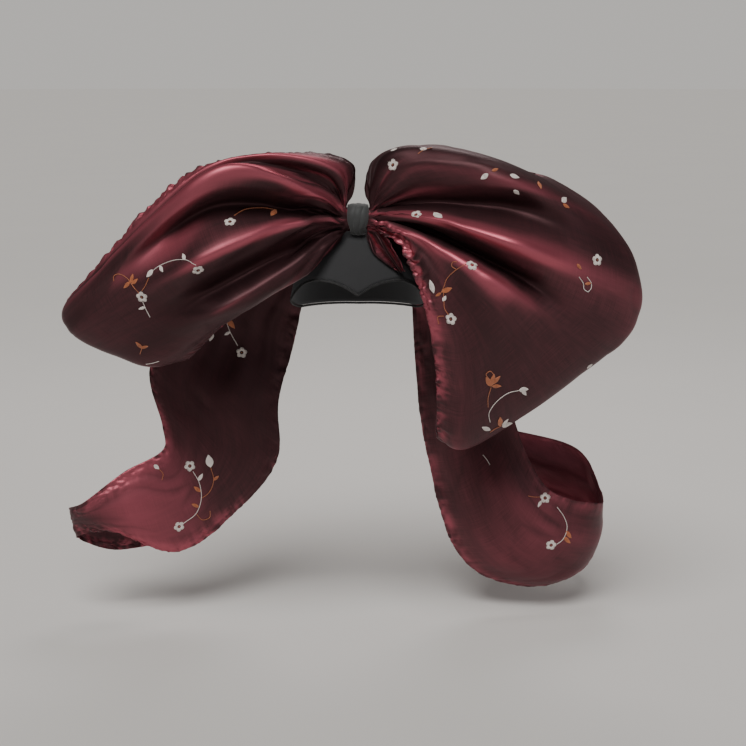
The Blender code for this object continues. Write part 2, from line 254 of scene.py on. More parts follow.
# Embroidery. Each stitch has its kind, its thread and its path in pixels of the photograph: a
# stem follows the whole path, a leaf, bud or flower is worked from its first point to its second
PHOTO_SPRAYS = {
    "ribbon_loop_left": (
        ("flower", "cream", (230, 222), (236, 222)),
        ("stem", "copper", (234, 216), (244, 210), (260, 208), (275, 210)),
        ("leaf", "copper", (276, 210), (271, 216)),
        ("stem", "cream", (152, 272), (158, 267), (172, 261), (186, 260), (196, 265)),
        ("flower", "cream", (198, 270), (204, 271)),
        ("leaf", "cream", (185, 260), (183, 254)),
        ("leaf", "cream", (160, 266), (163, 272)),
        ("bud", "cream", (153, 270), (147, 277)),
        ("stem", "copper", (149, 278), (146, 285), (142, 291)),
        ("stem", "copper", (114, 281), (114, 276), (119, 274), (127, 278), (133, 286), (140, 294)),
        ("leaf", "copper", (131, 283), (133, 274)),
        ("leaf", "copper", (130, 282), (124, 288)),
        ("leaf", "copper", (132, 284), (138, 279)),
        ("flower", "cream", (142, 297), (149, 297)),
        ("stem", "cream", (143, 302), (146, 309), (150, 317)),
        ("leaf", "cream", (145, 307), (139, 309)),
        ("leaf", "copper", (142, 348), (136, 342)),
        ("leaf", "copper", (141, 348), (148, 346)),
        ("stem", "copper", (142, 348), (140, 354)),
        ("stem", "cream", (146, 364), (152, 363), (159, 361)),
        ("flower", "cream", (288, 289), (292, 286)),
    ),
    "ribbon_loop_right": (
        ("bud", "cream", (391, 151), (397, 149)),
        ("stem", "copper", (418, 154), (424, 150), (432, 148)),
        ("bud", "cream", (420, 149), (427, 149)),
        ("flower", "cream", (393, 165), (398, 165)),
        ("bud", "cream", (488, 174), (481, 179)),
        ("leaf", "copper", (492, 171), (498, 169)),
        ("bud", "cream", (510, 175), (519, 178)),
        ("stem", "cream", (531, 180), (534, 177), (537, 174)),
        ("leaf", "copper", (538, 182), (541, 189)),
        ("bud", "cream", (514, 190), (519, 194)),
        ("bud", "cream", (562, 202), (566, 198)),
        ("leaf", "copper", (563, 204), (569, 208)),
        ("flower", "cream", (416, 215), (421, 216)),
        ("bud", "cream", (434, 213), (442, 218)),
        ("flower", "cream", (472, 265), (478, 266)),
        ("stem", "copper", (466, 264), (456, 270), (447, 279), (444, 287), (441, 293)),
        ("stem", "copper", (456, 269), (452, 266), (453, 262), (457, 262)),
        ("leaf", "copper", (442, 292), (452, 288)),
        ("leaf", "copper", (441, 293), (436, 296)),
        ("leaf", "cream", (434, 293), (430, 280)),
        ("stem", "copper", (443, 289), (444, 299), (445, 309), (449, 315)),
        ("bud", "cream", (443, 301), (446, 296)),
        ("flower", "cream", (451, 319), (457, 320)),
        ("stem", "copper", (444, 316), (438, 317), (439, 324)),
        ("flower", "cream", (597, 260), (603, 260)),
        ("leaf", "copper", (577, 264), (581, 269)),
        ("stem", "cream", (579, 277), (583, 283), (584, 289), (588, 292)),
        ("stem", "cream", (587, 277), (591, 283), (591, 288), (588, 292)),
        ("leaf", "copper", (585, 284), (591, 283)),
        ("leaf", "copper", (491, 386), (486, 377)),
        ("stem", "copper", (489, 379), (486, 374), (490, 371), (494, 375)),
        ("leaf", "copper", (491, 386), (494, 374)),
        ("leaf", "copper", (492, 384), (500, 376)),
        ("leaf", "copper", (492, 386), (501, 386)),
        ("stem", "copper", (491, 387), (488, 398), (488, 407)),
        ("stem", "cream", (490, 422), (489, 413), (496, 402), (508, 393), (520, 390)),
        ("bud", "cream", (519, 390), (528, 389)),
        ("leaf", "cream", (522, 390), (526, 395)),
        ("stem", "cream", (488, 442), (490, 432), (490, 421)),
        ("leaf", "cream", (490, 430), (482, 427)),
        ("stem", "copper", (490, 432), (496, 428), (503, 425)),
        ("leaf", "copper", (500, 426), (500, 417)),
        ("leaf", "cream", (502, 426), (508, 419)),
        ("bud", "cream", (502, 426), (512, 423)),
        ("bud", "cream", (587, 368), (592, 364)),
    ),
    "ribbon_tail_right": (
        ("stem", "cream", (483, 455), (487, 460), (490, 465)),
        ("flower", "cream", (545, 498), (551, 498)),
        ("stem", "copper", (528, 496), (534, 497), (540, 497)),
        ("leaf", "cream", (541, 501), (538, 507)),
        ("stem", "cream", (557, 507), (564, 517), (567, 527), (563, 539), (557, 544)),
        ("leaf", "copper", (566, 531), (571, 538)),
        ("leaf", "copper", (564, 537), (570, 543)),
        ("flower", "cream", (551, 545), (557, 546)),
    ),
    "ribbon_tail_left": (
        ("bud", "cream", (154, 465), (159, 469)),
        ("stem", "copper", (159, 469), (163, 474), (162, 480)),
    ),
}

# A whole spray of the same cloth, in millimetres along and across the ribbon
SPRAY = (
    ("stem", "cream", (-34, -12), (-22, 4), (-4, 10), (14, 7), (26, -2)),
    ("stem", "copper", (-4, 10), (2, 22), (14, 30), (26, 30)),
    ("stem", "copper", (-22, 4), (-30, 14), (-28, 24), (-20, 24)),
    ("flower", "cream", (31, -6), (38, -7)),
    ("flower", "cream", (-38, -17), (-45, -19)),
    ("bud", "cream", (26, 30), (36, 34)),
    ("leaf", "copper", (14, 30), (17, 39)),
    ("leaf", "copper", (4, 9), (10, -1)),
    ("leaf", "copper", (-14, 7), (-10, -3)),
    ("leaf", "cream", (16, 6), (22, 14)),
)
Place = namedtuple("Place", "cloth along across turn_deg")
SPRAY_PLACES = (
    Place("ribbon_loop_right", 0.62, 0.24, 30),
    Place("ribbon_loop_right", 0.66, 0.68, -70),
    Place("ribbon_loop_right", 0.83, 0.45, 160),
    Place("ribbon_loop_left", 0.62, 0.26, 40),
    Place("ribbon_loop_left", 0.68, 0.70, -60),
    Place("ribbon_loop_left", 0.84, 0.48, 150),
    Place("ribbon_tail_right", 0.30, 0.45, 20),
    Place("ribbon_tail_right", 0.90, 0.45, 200),
    Place("ribbon_tail_left", 0.33, 0.55, -30),
    Place("ribbon_tail_left", 0.62, 0.45, 120),
)

# Gathers at the knot, coarse ones that run far into the cloth and fine ones that die out soon
Gather = namedtuple("Gather", "count rise_mm reach_mm seed")
LOOP_GATHERS = (
    Gather(6, 2.2, 110, 1),
    Gather(12, 2.8, 80, 2),
    Gather(21, 2.4, 46, 3),
)
TAIL_GATHERS = (
    Gather(5, 3.0, 190, 4),
    Gather(10, 2.2, 90, 5),
    Gather(21, 1.3, 36, 6),
)

# How each ribbon is gathered, and how strongly its hems pucker at HEM_MARKS of its length
Cut = namedtuple("Cut", "gathers both_ends inner_hem outer_hem")
RIGHT_LOOP_CUT = Cut(
    LOOP_GATHERS, True, (0.5, 1.2, 2.0, 1.3, 0.6, 0.5), (0, 0.1, 0.2, 0.5, 0.6, 0.3)
)
LEFT_LOOP_CUT = Cut(
    LOOP_GATHERS, True, (0.2, 0.3, 0.3, 0.5, 0.5, 0.3), (0, 0.2, 0.6, 1.5, 1.3, 0.3)
)
RIGHT_TAIL_CUT = Cut(
    TAIL_GATHERS, False, (0.3, 0.4, 0.7, 0.8, 0.7, 0.5), (0.3, 0.3, 0.4, 0.35, 0.3, 0.25)
)
LEFT_TAIL_CUT = Cut(
    TAIL_GATHERS, False, (0.3, 0.4, 0.7, 0.8, 1.0, 1.2), (0.3, 0.4, 0.6, 0.8, 0.9, 0.9)
)

# The photograph's camera
VIEW_DISTANCE = 2.0
VIEW_ELEVATION_DEG = 11.0
VIEW_RIGHT = 0.018
VIEW_DOWN = 0.187
LENS = 80.4
SENSOR = 36.0
PHOTO_SIZE = 746

# Stitches
FLOWER_RADIUS = 7 * MM
PETALS = 5
PETAL_STITCHES = 7
STEM_SHARE = 0.7
STEM_STEP = 0.9 * MM
STEPS_PER_TWIST = 5
BUD_BREADTH = 0.28
LEAF_BREADTH = 0.19
LEAF_STEPS = 7
DOT_STEPS = 8
LONGEST_STEP = 30 * MM

# Studio
FLOOR_RADIUS = 30.0
FLOOR_DROP = 30 * MM
Lamp = namedtuple("Lamp", "name kind place aim size power colour")
LAMPS = (
    Lamp("key", "SUN", (-0.35, -1.5, 2.1), (0, 0, 0), 0.6, 2.6, (1.0, 0.98, 0.95)),
    Lamp("fill", "AREA", (1.8, -1.8, 0.6), (0, 0, -0.15), 1.6, 4, (0.95, 0.97, 1.0)),
    Lamp("back", "AREA", (0.2, 1.4, 1.4), (0, 0, 0.0), 1.0, 9, (1.0, 0.94, 0.93)),
)
WORLD_COLOUR = (0.95, 0.92, 0.882, 1.0)
WORLD_LIGHT = 0.08
WORLD_SEEN = 0.578


def length_property(name, description, default):
    return bpy.props.FloatProperty(
        name=name, description=description, default=default, unit="LENGTH"
    )


class HeaddressSizes(bpy.types.PropertyGroup):
    cloth: length_property("Cloth", "Thickness of the taffeta", 0.7 * MM)
    hem_width: length_property("Hem", "Width of the sewn hem", 6 * MM)
    pucker: length_property("Pucker", "How far the hem's puckers stand up", 2.0 * MM)
    rumple: length_property("Rumple", "Height of the soft creases", 1.1 * MM)
    thread: length_property("Thread", "Radius of an embroidery thread", 0.42 * MM)


def colour_property(name, description, default):
    return bpy.props.FloatVectorProperty(
        name=name, description=description, default=default, subtype="COLOR", min=0.0, max=1.0
    )


class HeaddressColours(bpy.types.PropertyGroup):
    warp: colour_property("Warp", "Dark threads along the taffeta", (0.026, 0.0135, 0.015))
    weft: colour_property("Weft", "Red threads across the taffeta", (0.43, 0.105, 0.140))
    felt: colour_property("Felt", "Bonnet", (0.010, 0.010, 0.011))
    ribbon: colour_property("Ribbon", "Knot band", (0.030, 0.033, 0.034))
    cream: colour_property("Cream", "Embroidered flowers", (0.80, 0.73, 0.69))
    copper: colour_property("Copper", "Embroidered leaves", (0.42, 0.13, 0.05))
    floor: colour_property("Floor", "Studio floor", (0.74, 0.72, 0.70))


def sizes():
    return bpy.context.scene.headdress_sizes


def colours():
    return bpy.context.scene.headdress_colours


def view_axes(tilt):
    """The way the photograph's camera looks, and its upward direction."""
    towards = Vector((0, math.cos(tilt), -math.sin(tilt)))
    return towards, Vector((0, math.sin(tilt), math.cos(tilt)))


def view_point():
    """Where the photograph's camera stands."""
    towards, up = view_axes(math.radians(VIEW_ELEVATION_DEG))
    shift = VIEW_RIGHT * Vector((1, 0, 0)) - VIEW_DOWN * up
    return Vector(KNOT) - VIEW_DISTANCE * towards + shift


# Curves


def through(points, places):
    """Points on the centripetal Catmull-Rom curve through the given ones, at fractional places."""
    points = np.asarray(points, float)
    ends = np.vstack([2 * points[0] - points[1], points, 2 * points[-1] - points[-2]])
    places = np.asarray(places, float)
    row = np.clip(places.astype(int), 0, len(points) - 2)
    p = [ends[row + k] for k in range(4)]
    t = [np.zeros((len(places), 1))]
    for k in range(3):
        t.append(t[k] + np.linalg.norm(p[k + 1] - p[k], axis=1, keepdims=True) ** 0.5)
    now = t[1] + (places - row)[:, None] * (t[2] - t[1])
    for first, reach in ((0, 1), (0, 2), (1, 1)):
        blended = []
        for k in range(len(p) - 1):
            start, end = t[first + k], t[first + k + reach]
            blended.append((p[k] * (end - now) + p[k + 1] * (now - start)) / (end - start))
        p = blended
    return p[0]


def evenly(points, steps):
    """The same curve cut into steps of equal length."""
    spans = len(points) - 1
    dense = through(points, np.linspace(0, spans, CURVE_STEPS * spans + 1))
    lengths = np.linalg.norm(np.diff(dense, axis=0), axis=1)
    along = np.concatenate([[0], np.cumsum(lengths)])
    wanted = np.linspace(0, along[-1], steps + 1)
    return np.stack([np.interp(wanted, along, dense[:, k]) for k in range(3)], axis=1)


def soft_noise(x, y, seed):
    """Smooth noise from -1 to 1, one hill or hollow to a unit cell."""
    table = np.random.default_rng(seed).uniform(-1, 1, (NOISE_CELLS, NOISE_CELLS))
    x, y = np.broadcast_arrays(x, y)
    column, row = np.floor(x).astype(int), np.floor(y).astype(int)
    across, up = x - column, y - row
    across, up = (f * f * (3 - 2 * f) for f in (across, up))
    corner = [
        [table[(column + i) % NOISE_CELLS, (row + j) % NOISE_CELLS] for j in (0, 1)]
        for i in (0, 1)
    ]
    low = corner[0][0] * (1 - across) + corner[1][0] * across
    high = corner[0][1] * (1 - across) + corner[1][1] * across
    return low * (1 - up) + high * up


def ease(x):
    """Rises smoothly from 0 to 1 as x does."""
    x = np.clip(x, 0, 1)
    return x * x * (3 - 2 * x)


# Bonnet shape


def rim_height(bearing):
    """Height of the bonnet's rim at a bearing in radians from the middle of the front."""
    degrees = abs(math.degrees(math.remainder(bearing, 2 * math.pi)))
    bearings = [row.bearing_deg for row in CAP_RIM]
    row = min(sum(degrees >= b for b in bearings) - 1, len(CAP_RIM) - 2)
    place = row + (degrees - bearings[row]) / (bearings[row + 1] - bearings[row])
    heights = [(row.height_mm * MM,) * 3 for row in CAP_RIM]
    return through(heights, [place])[0][0]


def rim_polar(bearing):
    """Angle from the pole of the dome down to the rim."""
    return math.acos((CAP_DOME + rim_height(bearing)) / CAP_DOME)


def on_dome(bearing, polar, proud=0.0):
    """A point on the dome, proud of its inside face by the given distance."""
    return Vector(
        (
            (CAP_HALF_WIDTH + proud) * math.sin(polar) * math.sin(bearing),
            -(CAP_HALF_LENGTH + proud) * math.sin(polar) * math.cos(bearing),
            (CAP_DOME + proud) * math.cos(polar) - CAP_DOME,
        )
    )


# Ribbon shape, in the knot's own frame with x outwards


def root(angle, x, depth):
    """A point of the gathered ribbon inside the band. Depth runs from -1, front, to 1, back."""
    room = BAND_WALL + ROOT_GAP
    y = depth * (BAND_HALF_DEPTH - room) * math.cos(angle)
    z = (BAND_HALF_HEIGHT - room) * math.sin(angle) * (BAND_SQUASH if angle > 0 else 1)
    return np.array([x, y, z])


def clear_of_cap(points, mouth=MOUTH):
    """Lifts points of the ribbon off the bonnet, and clear of the space below its rim."""
    place = points + KNOT
    lift = CAP_WALL + CAP_CLEARANCE
    reach = np.array([CAP_HALF_WIDTH, CAP_HALF_LENGTH, CAP_DOME]) + lift
    up = np.maximum(place[..., 2] + CAP_DOME, 0.0)
    flat = np.stack([place[..., 0], place[..., 1], up], axis=-1)
    level = np.linalg.norm(flat / reach, axis=-1)
    inside = (level < 1) & (place[..., 0] > mouth)
    level = np.where(inside, np.maximum(level, 1e-6), 1.0)[..., None]
    base = np.minimum(place[..., 2], -CAP_DOME)
    lifted = flat / level
    lifted[..., 2] += base
    return np.where(inside[..., None], lifted - KNOT, points)


def fold_line(fold, angle):
    """One line of a loop: out of the band, round the tip and back."""
    near, mid, tip, back = (np.array(p) * MM for p in fold[1:5])
    front = [root(angle, MOUTH, -1), near, mid]
    behind = [root(angle, MOUTH, LOOP_BACK_DEPTH)]
    behind += [BACK_SPREAD * back + (1 - BACK_SPREAD) * behind[0], back]
    outward = tip - 0.5 * (mid + back)
    outward[1] = 0.0
    pull = TIP_PULL * outward / np.linalg.norm(outward)
    step = np.array([0.0, TIP_ROUND, 0.0])
    front += [tip - pull - step, tip]
    behind += [tip - pull + step, tip]
    inner = np.linspace(ROOT_START, MOUTH, ROOT_STEPS, endpoint=False)
    return np.vstack(
        [
            [root(angle, x, -1) for x in inner],
            evenly(front, LOOP_FRONT_STEPS),
            evenly(behind, LOOP_BACK_STEPS)[::-1][1:],
            [root(angle, x, LOOP_BACK_DEPTH) for x in inner[::-1]],
        ]
    )


def row_places(rows, last, width):
    """Places of the rows across a ribbon, closer together in the hems."""
    hem = HEM_ZONE / width
    inner = rows - 2 * HEM_ROWS
    places = np.concatenate(
        [
            np.linspace(0, hem, HEM_ROWS, endpoint=False),
            np.linspace(hem, 1 - hem, inner + 1),
            np.linspace(1 - hem, 1, HEM_ROWS + 1)[1:],
        ]
    )
    return places * last


def fading(ribs):
    """Lets the folds die out between the middle of a loop and its tip."""
    count = ribs.shape[1]
    place = np.arange(count) / (ROOT_STEPS + LOOP_FRONT_STEPS)
    place = np.where(place > 1, (count - np.arange(count)) / (ROOT_STEPS + LOOP_BACK_STEPS), place)
    share = FOLD_FADE * ease((place - FADE_FROM) / FADE_OVER)[None, :, None]
    padded = np.pad(ribs, ((2, 2), (0, 0), (0, 0)), mode="edge")
    even = sum(padded[k : k + len(ribs)] for k in range(5)) / 5
    even[..., [0, 2]] = ribs[..., [0, 2]]
    even[[0, -1]] = ribs[[0, -1]]
    return ribs + share * (even - ribs)


def loop_lines(folds, lower_deg, width):
    """A loop as a grid of points, rows from hem to hem and columns along the ribbon."""
    angles = np.radians(np.linspace(-lower_deg, LOOP_SPREAD_DEG, len(folds)))
    ribs = fading(np.array([fold_line(fold, angle) for fold, angle in zip(folds, angles)]))
    places = row_places(LOOP_ROWS, len(folds) - 1, width)
    return np.stack([through(ribs[:, i], places) for i in range(ribs.shape[1])], axis=1)


def loop_painted_shading(folds, width, count):
    """How much redder, as a painted highlight, or darker, as painted shade, each point of a loop is
    coloured, from its folds.
    """
    along = np.arange(count) / (ROOT_STEPS + LOOP_FRONT_STEPS)
    rows = []
    for fold in folds:
        near, mid, tip = fold.glow
        rows.append(np.interp(along, PAINTED_SHADING_MARKS, (near, near, mid, tip, 0.0)))
    rows = np.array(rows)
    places = row_places(LOOP_ROWS, len(folds) - 1, width)
    below = np.minimum(places.astype(int), len(folds) - 2)
    share = ease(places - below)[:, None]
    return rows[below] * (1 - share) + rows[below + 1] * share


def tail_painted_shading(sections, count):
    """How much redder, as a painted highlight, or darker, as painted shade, each point of a tail is
    coloured, from its sections.
    """
    marks = np.linspace(0, 1, len(sections) + 1)[1:]
    return np.interp(np.linspace(0, 1, count), marks, [s.glow for s in sections])[None, :]


def ruffle_lines():
    """The short pleats that come out under the knot and run together to a point."""
    ribs = []
    for pleat in RUFFLE:
        start = root(math.radians(pleat.root_deg), MOUTH - 3 * MM, -1)
        stations = [start] + [np.array(p) * MM for p in pleat[2:]]
        ribs.append(evenly(stations, RUFFLE_STEPS))
    ribs = np.array(ribs)
    places = np.linspace(0, len(RUFFLE) - 1, RUFFLE_ROWS + 1)
    return np.stack([through(ribs[:, i], places) for i in range(ribs.shape[1])], axis=1)


def tail_lines(sections, width):
    """A tail as a grid of points like a loop's."""
    spread = math.radians(TAIL_SPREAD_DEG)
    places = row_places(TAIL_ROWS, 3, width)
    angles = -spread + 2 * spread * places / places[-1]
    inner = np.linspace(ROOT_START, MOUTH, ROOT_STEPS, endpoint=False)
    start = np.array([[root(angle, x, 1) for x in inner] for angle in angles])
    mouth = [root(angle, MOUTH, 1) for angle in angles]
    rows = np.array([mouth] + [through(np.array(s[:4]) * MM, places) for s in sections])
    body = np.array([evenly(rows[:, j], TAIL_STEPS) for j in range(len(angles))])
    return np.concatenate([start, body], axis=1)


def normals_of(lines):
    """The unit normal at each point of a grid."""
    normal = np.cross(np.gradient(lines, axis=0), np.gradient(lines, axis=1))
    return normal / np.maximum(np.linalg.norm(normal, axis=2, keepdims=True), 1e-12)


def running(lines, axis):
    """Distance along the cloth from its first line, along the given axis of the grid."""
    steps = np.linalg.norm(np.diff(lines, axis=axis), axis=2)
    start = np.zeros_like(np.take(steps, [0], axis=axis))
    return np.concatenate([start, np.cumsum(steps, axis=axis)], axis=axis)


# In the next three, each length that divides a distance is that of one hill of the noise


def gather_height(share, distance, gather, width):
    """Ridges that leave the knot and flatten out along the cloth."""
    wander = 0.35 * soft_noise(share * gather.count / 3, distance / (60 * MM), gather.seed + 40)
    pleat = share * gather.count + wander
    size = 1 + 0.6 * soft_noise(pleat * 0.9, 0.5, gather.seed + 50)
    reach = gather.reach_mm * MM * (1 + 0.5 * soft_noise(pleat * 0.7, 0.5, gather.seed + 60))
    ridge = 0.7 - 1.8 * np.abs(np.cos(math.pi * pleat)) ** 2.5
    out = distance - MOUTH
    grow = ease(out / KNOT_EASE)
    fade = np.exp(-((np.maximum(out, 0) / reach) ** 1.4))
    rise = np.minimum(gather.rise_mm * MM, 0.25 * width / gather.count)
    return rise * size * grow * fade * ridge


def rumple_height(along, across, seed):
    """Soft hollows and a few sharp creases, such as crisp silk keeps."""
    wide = soft_noise(along / (58 * MM), across / (44 * MM), seed)
    crease = soft_noise(along / (46 * MM) + 0.4 * wide, across / (23 * MM) + 0.6 * wide, seed + 1)
    fine = soft_noise(along / (17 * MM), across / (12 * MM), seed + 2)
    return sizes().rumple * (0.8 * wide + 0.9 * (0.5 - np.abs(crease)) + 0.18 * fine)


def pucker_height(along, from_edge, seed):
    """Puckers that the hem's stitching draws up, from about -1 to 1."""
    drift = 1.5 * soft_noise(along / (19 * MM), from_edge / (12 * MM), seed + 3)
    slant = along / (7.4 * MM) + from_edge / (19 * MM) + drift
    wave = soft_noise(slant, from_edge / (11 * MM) + 0.5 * drift, seed)
    fine = soft_noise(along / (3.9 * MM) - drift, from_edge / (6 * MM), seed + 1)
    broad = soft_noise(along / (26 * MM), from_edge / (40 * MM), seed + 4)
    fade = np.exp(-((from_edge / (16 * MM)) ** 3))
    size = 0.8 + 0.6 * soft_noise(along / (43 * MM), 0.5, seed + 2)
    return size * fade * (1.7 * (0.42 - np.abs(wave)) + 0.65 * fine + 0.5 * broad)


def crest_of(lines, step):
    """How sharply the cloth bulges outwards across its width, negative in a valley."""
    rows = np.arange(len(lines))
    before = lines[np.maximum(rows - step, 0)]
    after = lines[np.minimum(rows + step, len(lines) - 1)]
    bulge = ((0.5 * (before + after) - lines) * normals_of(lines)).sum(axis=2)
    return bulge / np.maximum(np.linalg.norm(after - before, axis=2), MM)


def finished(lines, cut, seed, glow):
    """The ribbon with its gathers, creases and puckered hems, and its painted light: how much
    redder each point is coloured, as a painted highlight, or darker, as painted shade.
    """
    normal = normals_of(lines)
    along, across = running(lines, 1), running(lines, 0)
    share = across / across[-1:]
    gathered = np.zeros(along.shape)
    for gather in cut.gathers:
        gathered += gather_height(share, along, gather, across[-1:])
        if cut.both_ends:
            gathered += gather_height(share, along[:, -1:] - along, gather, across[-1:])
    flat_along = np.broadcast_to(along.mean(axis=0), along.shape)
    flat_across = np.broadcast_to(across.mean(axis=1)[:, None], along.shape)
    calm = ease((along - MOUTH) / CREASE_EASE)
    if cut.both_ends:
        calm = calm * ease((along[:, -1:] - along - MOUTH) / CREASE_EASE)
    creased = calm * rumple_height(flat_along, flat_across, seed)
    puckered, lustre, hemmed = (np.zeros(along.shape) for _ in range(3))
    for from_edge, sizes_along, shift in (
        (across, cut.inner_hem, 20),
        (across[-1:] - across, cut.outer_hem, 30),
    ):
        size = np.interp(along / along[:, -1:], HEM_MARKS, sizes_along)
        fade = ease((along - MOUTH) / KNOT_EASE)
        puckered += size * fade * pucker_height(flat_along, from_edge, seed + shift)
        # Painted highlight: the band along each hem is coloured redder.
        lustre += size * fade * np.exp(-((from_edge / (15 * MM)) ** 4))
        hemmed += fade * ease((sizes().hem_width - from_edge) / (0.8 * MM))
    total = gathered + creased + sizes().pucker * puckered + HEM_RISE * hemmed
    shaped = lines + normal * total[..., None]
    # Painted light: ridges, gather crests and puckered hems are coloured redder as a painted
    # highlight, hollows and grooves darker as painted shade, and each fold's painted light and
    # shade from its table is added.
    crest = PAINTED_LIGHT.sharp * crest_of(shaped, 2) + PAINTED_LIGHT.broad * crest_of(shaped, 6)
    crest += PAINTED_LIGHT.gathers * gathered / MM + PAINTED_LIGHT.puckers * puckered
    crest += PAINTED_LIGHT.hem_zone * lustre + PAINTED_LIGHT.hem * hemmed
    return shaped, crest + glow


# Making pieces


def show(piece, slot, replaced=()):
    """Links a finished piece, gives it its slot's material and ties it to the frame."""
    piece.data.materials.append(look(slot))
    bpy.context.scene.collection.objects.link(piece)
    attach(piece, "root")
    if replaced:
        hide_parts(*replaced)


def mesh_piece(name, bm):
    """An unlinked smooth object from a bmesh, which it frees."""
    mesh = bpy.data.meshes.new(name)
    bm.to_mesh(mesh)
    bm.free()
    mesh.shade_smooth()
    return bpy.data.objects.new(name, mesh)


def thicken(piece, thickness, offset=0.0):
    """Gives a sheet a wall, centred on it at offset 0 and outside it at 1."""
    wall = piece.modifiers.new("Wall", "SOLIDIFY")
    wall.thickness = thickness
    wall.offset = offset


def thread_piece(name, lines, radius, closed=False):
    """An unlinked object of round threads, each with its points and its share of the radius."""
    curve = bpy.data.curves.new(name, "CURVE")
    curve.dimensions = "3D"
    curve.bevel_depth = radius
    curve.bevel_resolution = 1
    curve.use_fill_caps = not closed
    for line, share in lines:
        spline = curve.splines.new("POLY")
        spline.points.add(len(line) - 1)
        spline.use_cyclic_u = closed
        for point, place in zip(spline.points, line):
            point.co = (*place, 1.0)
            point.radius = share
    return bpy.data.objects.new(name, curve)


Cloth = namedtuple("Cloth", "points along across")
CLOTHS = {}


def cloth_piece(name, lines, crest, side):
    """A grid laid along the ribbon's lines, with its own length and width as its UV map."""
    across, along = lines.shape[0] - 1, lines.shape[1] - 1
    flat_along = running(lines, 1).mean(axis=0)
    flat_across = running(lines, 0).mean(axis=1)
    bm = bmesh.new()
    uv = bm.loops.layers.uv.new("Ribbon")
    # The crest attribute holds the painted highlight and shade by which the taffeta's colour is
    # mixed.
    painted_light_layer = bm.verts.layers.float.new("crest")
    bmesh.ops.create_grid(bm, x_segments=along, y_segments=across, size=0.5)
    world = (lines + KNOT) * np.array([side, 1, 1])
    place = {}
    for v in bm.verts:
        i = round((v.co.x + 0.5) * along)
        j = round((v.co.y + 0.5) * across)
        place[v.index] = (i, j)
        v.co = world[j, i]
        v[painted_light_layer] = crest[j, i]
    for face in bm.faces:
        for loop in face.loops:
            i, j = place[loop.vert.index]
            loop[uv].uv = (flat_along[i], flat_across[j])
    piece = mesh_piece(name, bm)
    thicken(piece, sizes().cloth)
    CLOTHS[name] = Cloth(world, flat_along, flat_across)
    return piece


def ribbon_piece(cad_name, lines, cut, seed, side, glow):
    """Finishes a loop or a tail and puts it in the place of its solid."""
    lines, crest = finished(lines, cut, seed, glow)
    piece = cloth_piece("ribbon_" + cad_name, clear_of_cap(lines), crest, side)
    show(piece, "burgundy_taffeta", [cad_name])
    return piece


# Shader node groups


def group_of(name, inputs, outputs):
    """A new node group with its sockets, its input node and its output node."""
    made = bpy.data.node_groups.new(name, "ShaderNodeTree")
    for label, kind, value in inputs:
        socket = made.interface.new_socket(label, in_out="INPUT", socket_type=kind)
        if value is not None:
            socket.default_value = value
    for label, kind in outputs:
        made.interface.new_socket(label, in_out="OUTPUT", socket_type=kind)
    start = made.nodes.new("NodeGroupInput")
    end = made.nodes.new("NodeGroupOutput")
    return made, start, end


def settle(made, **values):
    """Sets a node's inputs by their names, with _ for a space, and its properties in lower case."""
    for key, value in values.items():
        if key[0].isupper():
            made.inputs[key.replace("_", " ")].default_value = value
        else:
            setattr(made, key, value)
    return made


def node(tree, kind, **values):
    """A new node with the given inputs and properties."""
    return settle(tree.nodes.new(kind), **values)


def maths(tree, operation, first, second=None, clamp=False):
    """A maths node on two sockets or numbers."""
    made = node(tree, "ShaderNodeMath", operation=operation, use_clamp=clamp)
    for slot, value in enumerate((first, second)):
        if isinstance(value, (int, float)):
            made.inputs[slot].default_value = value
        elif value is not None:
            tree.links.new(value, made.inputs[slot])
    return made.outputs[0]


def mixed(tree, factor, first, second):
    """A colour mix of two sockets or colours."""
    made = node(tree, "ShaderNodeMix", data_type="RGBA")
    for slot, value in ((0, factor), (6, first), (7, second)):
        if isinstance(value, bpy.types.NodeSocket):
            tree.links.new(value, made.inputs[slot])
        elif slot:
            made.inputs[slot].default_value = (*value, 1.0)
        else:
            made.inputs[slot].default_value = value
    return made.outputs[2]


def stretched(tree, vector, scale):
    """The vector scaled along each axis."""
    mapping = node(tree, "ShaderNodeMapping", Scale=scale)
    tree.links.new(vector, mapping.inputs["Vector"])
    return mapping.outputs[0]


def noise_of(tree, vector, scale, detail=2.0):
    """Soft noise, so many hills to the metre."""
    made = node(tree, "ShaderNodeTexNoise", Scale=scale, Detail=detail)
    tree.links.new(vector, made.inputs["Vector"])
    return made.outputs["Fac"]


